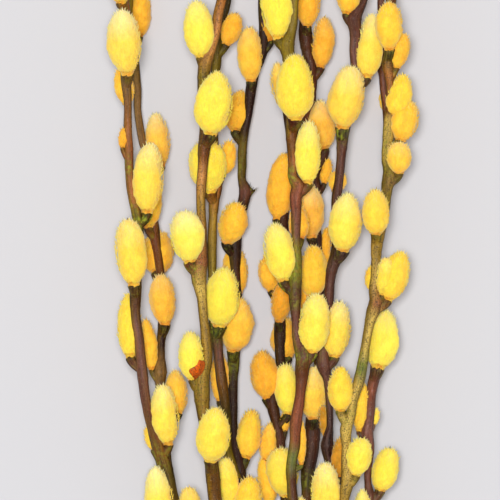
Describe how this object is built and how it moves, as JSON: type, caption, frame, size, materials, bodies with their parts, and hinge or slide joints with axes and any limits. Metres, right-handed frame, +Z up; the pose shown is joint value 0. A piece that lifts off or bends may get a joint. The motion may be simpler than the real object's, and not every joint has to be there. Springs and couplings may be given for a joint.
{
  "type": "willow branch",
  "caption": "Cut willow branch lying on a surface: upright brown and olive rods set with bright yellow furry catkins, drawing together on one older stem.",
  "frame": {"origin": "on the surface, under the middle of the whole branch seen from above", "axes": "+Y along the branch from its cut end to its tips, +X across the rods to the right, +Z up from the surface"},
  "size_m": [0.1548, 0.5176, 0.0718],
  "materials": {
    "main_stem_bark": "satin",
    "left_fork_bark": "satin",
    "left_rod_bark": "satin",
    "middle_fork_bark": "satin",
    "inner_rod_bark": "satin",
    "right_inner_rod_bark": "satin",
    "right_middle_rod_bark": "satin",
    "right_front_rod_bark": "satin",
    "right_back_rod_bark": "satin",
    "catkin_fur": "matte"
  },
  "bodies": {
    "root": {"main_stem": "main_stem_bark", "left_fork": "left_fork_bark", "left_rod": "left_rod_bark", "middle_fork": "middle_fork_bark", "inner_rod": "inner_rod_bark", "right_inner_rod": "right_inner_rod_bark", "right_middle_rod": "right_middle_rod_bark", "right_front_rod": "right_front_rod_bark", "right_back_rod": "right_back_rod_bark"}
  },
  "joints": []
}
